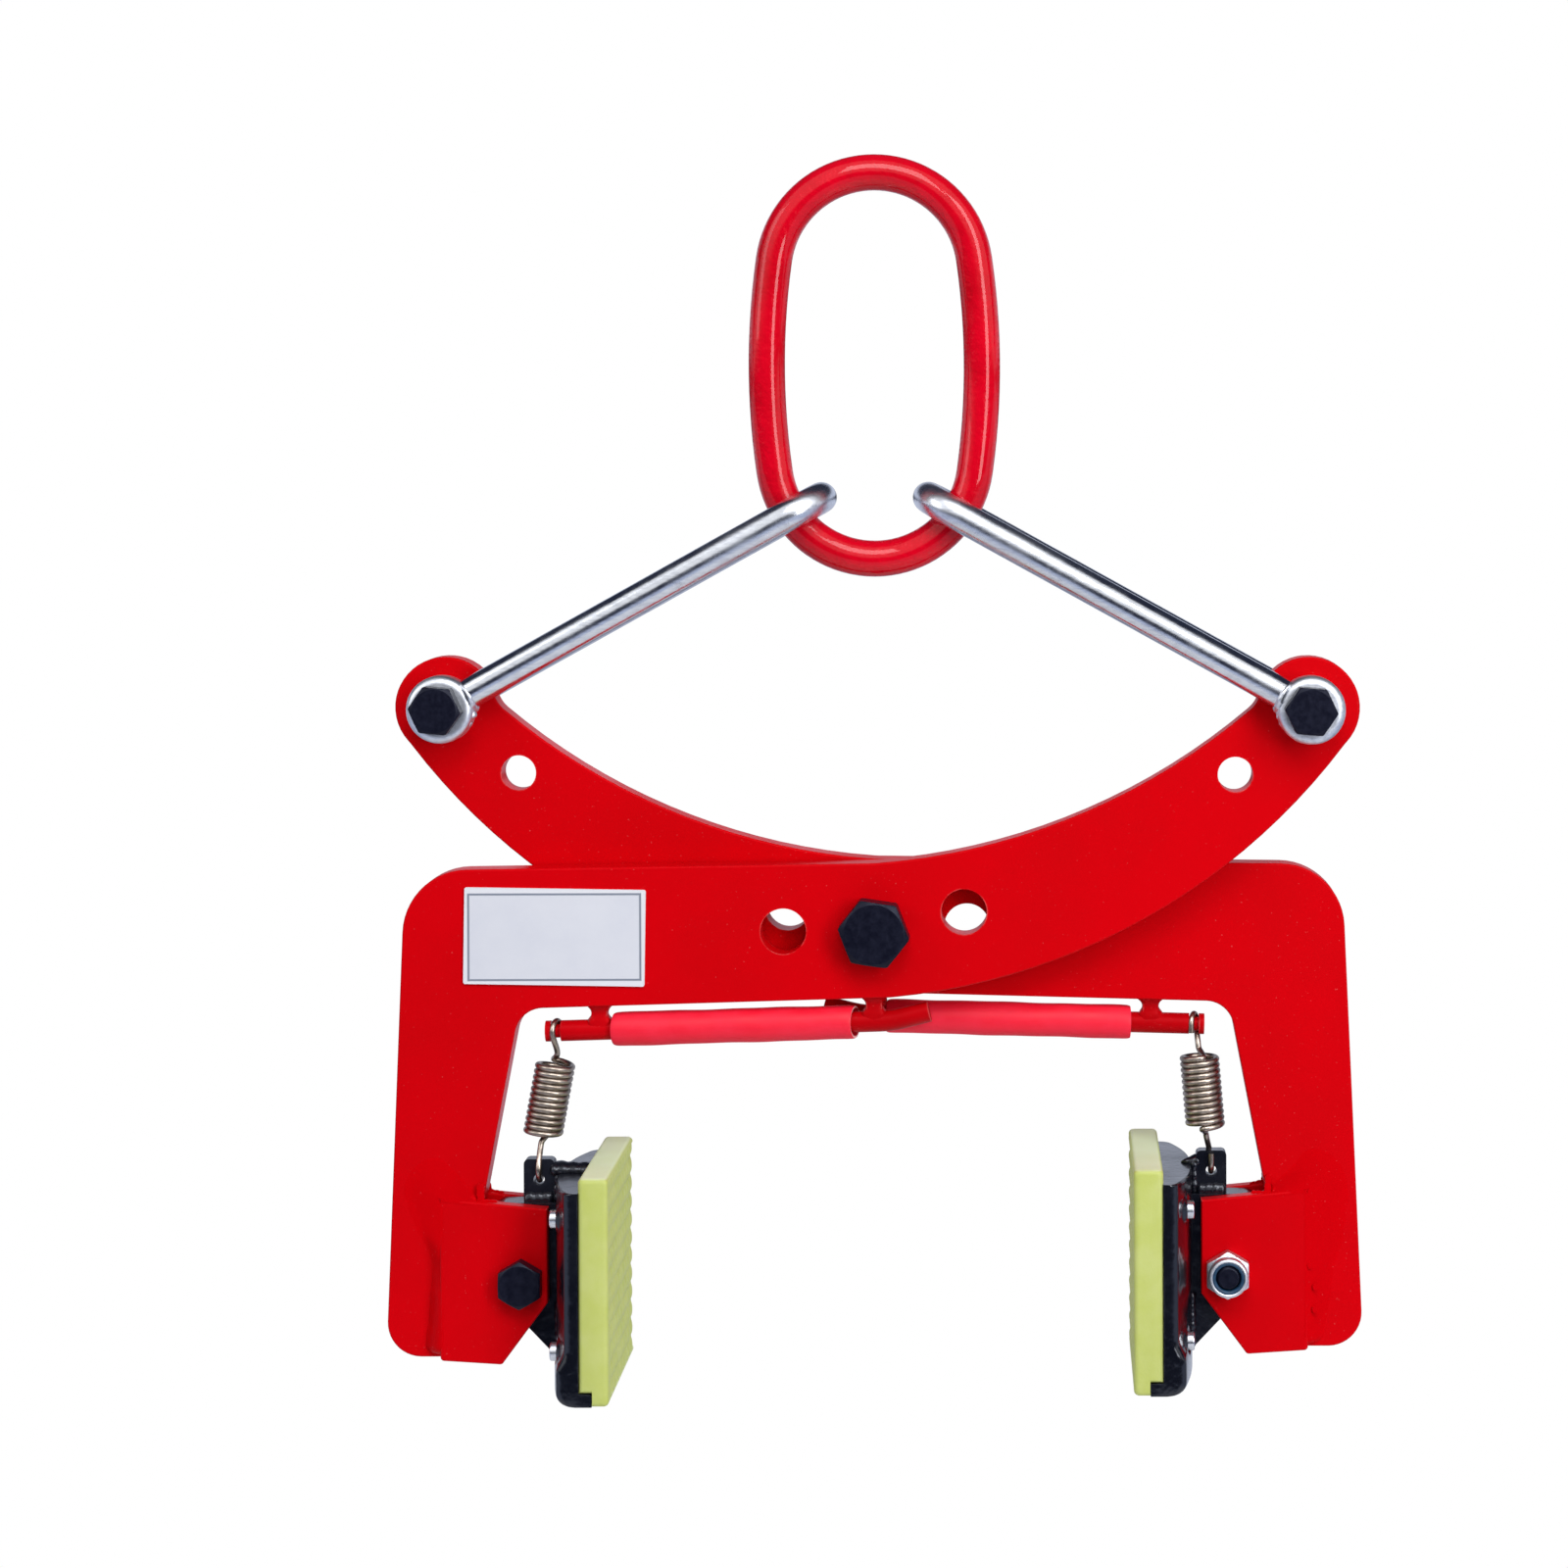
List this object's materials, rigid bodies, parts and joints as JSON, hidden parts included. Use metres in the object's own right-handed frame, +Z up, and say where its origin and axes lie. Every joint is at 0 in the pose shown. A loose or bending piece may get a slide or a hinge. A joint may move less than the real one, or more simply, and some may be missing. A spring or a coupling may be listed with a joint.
{
  "type": "stone lifting clamp",
  "caption": "Scissor clamp for lifting kerb stones: crossed flat arms hung by rod bails from an oblong link close sprung, waffle-faced rubber grips on the stone as it is lifted",
  "frame": {"origin": "the point where the crane hook carries the link, on the inside of the link's crown", "axes": "X across the jaws, +X to the right as seen from the front; Y from front to back; Z up, towards the hook"},
  "size_m": [0.3744, 0.0936, 0.4711],
  "materials": {
    "arm_paint": "gloss red powder coat on steel plate",
    "link_paint": "gloss red paint on forged bar",
    "zinc": "bright zinc plate",
    "black_bolts": "black oxide",
    "black_paint": "gloss black enamel on steel",
    "grip_rubber": "moulded polyurethane, satin",
    "sleeve": "soft hose, satin",
    "spring_wire": "oiled spring wire",
    "nylon": "nylon ring",
    "label": "blank plate, satin"
  },
  "bodies": {
    "link": {"master_link": "link_paint"},
    "pivot": {"pivot_bolt": "black_bolts", "pivot_nut": "zinc", "pivot_spacer": "zinc", "pivot_washer": "zinc"},
    "front_arm": {"front_arm": "arm_paint", "left_front_cheek": "arm_paint", "left_rear_cheek": "arm_paint", "left_jaw_bolt": "black_bolts", "left_jaw_nut": "zinc", "left_nut_insert": "nylon", "left_rest_bar": "arm_paint", "left_rest_posts": "arm_paint", "left_rest_sleeve": "sleeve", "left_spring": "spring_wire", "rating_plate": "label", "right_eye_bolt": "black_bolts", "right_eye_nut": "zinc", "right_eye_washers": "zinc"},
    "back_arm": {"back_arm": "arm_paint", "right_front_cheek": "arm_paint", "right_rear_cheek": "arm_paint", "right_jaw_bolt": "black_bolts", "right_jaw_nut": "zinc", "right_nut_insert": "nylon", "right_rest_bar": "arm_paint", "right_rest_posts": "arm_paint", "right_rest_sleeve": "sleeve", "right_spring": "spring_wire", "left_eye_bolt": "black_bolts", "left_eye_nut": "zinc", "left_eye_washers": "zinc"},
    "right_bail": {"right_bail_rod": "zinc", "right_bail_eyes": "zinc"},
    "left_bail": {"left_bail_rod": "zinc", "left_bail_eyes": "zinc"},
    "left_grip": {"left_lug": "black_paint", "left_spring_tab": "black_paint", "left_carrier": "black_paint", "left_carrier_screws": "zinc", "left_grip_pad": "grip_rubber"},
    "right_grip": {"right_lug": "black_paint", "right_spring_tab": "black_paint", "right_carrier": "black_paint", "right_carrier_screws": "zinc", "right_grip_pad": "grip_rubber"}
  },
  "joints": [
    {"name": "lift", "type": "slide", "parent": "link", "child": "pivot", "axis": [0, 0, -1], "range_m": [0, 0.1207]},
    {"name": "front_arm_close", "type": "hinge", "parent": "pivot", "child": "front_arm", "pos_m": [0, 0, -0.28415], "axis": [0, -1, 0], "range_deg": [0, 26.4]},
    {"name": "back_arm_close", "type": "hinge", "parent": "pivot", "child": "back_arm", "pos_m": [0, 0, -0.28415], "axis": [0, 1, 0], "range_deg": [0, 26.4]},
    {"name": "right_bail_fold", "type": "hinge", "parent": "front_arm", "child": "right_bail", "pos_m": [0.1664, -0.00675, -0.19905], "axis": [0, 1, 0], "range_deg": [0, 55.8]},
    {"name": "left_bail_fold", "type": "hinge", "parent": "back_arm", "child": "left_bail", "pos_m": [-0.1664, 0.00675, -0.19905], "axis": [0, -1, 0], "range_deg": [0, 55.8]},
    {"name": "left_grip_tilt", "type": "hinge", "parent": "front_arm", "child": "left_grip", "pos_m": [-0.135, -0.00675, -0.41715], "axis": [0, 1, 0], "range_deg": [-4, 27], "stiffness_Nm_per_rad": 1.2, "springref_deg": -7.33, "deforming": ["left_spring"]},
    {"name": "right_grip_tilt", "type": "hinge", "parent": "back_arm", "child": "right_grip", "pos_m": [0.135, 0.00675, -0.41715], "axis": [0, -1, 0], "range_deg": [-4, 27], "stiffness_Nm_per_rad": 1.2, "springref_deg": -7.33, "deforming": ["right_spring"]}
  ],
  "couplings": [
    {"joint": "front_arm_close", "follows": "lift", "rad_per_m": 3.8168},
    {"joint": "back_arm_close", "follows": "lift", "rad_per_m": 3.8168},
    {"joint": "right_bail_fold", "follows": "lift", "rad_per_m": 8.0534},
    {"joint": "left_bail_fold", "follows": "lift", "rad_per_m": 8.0534}
  ]
}
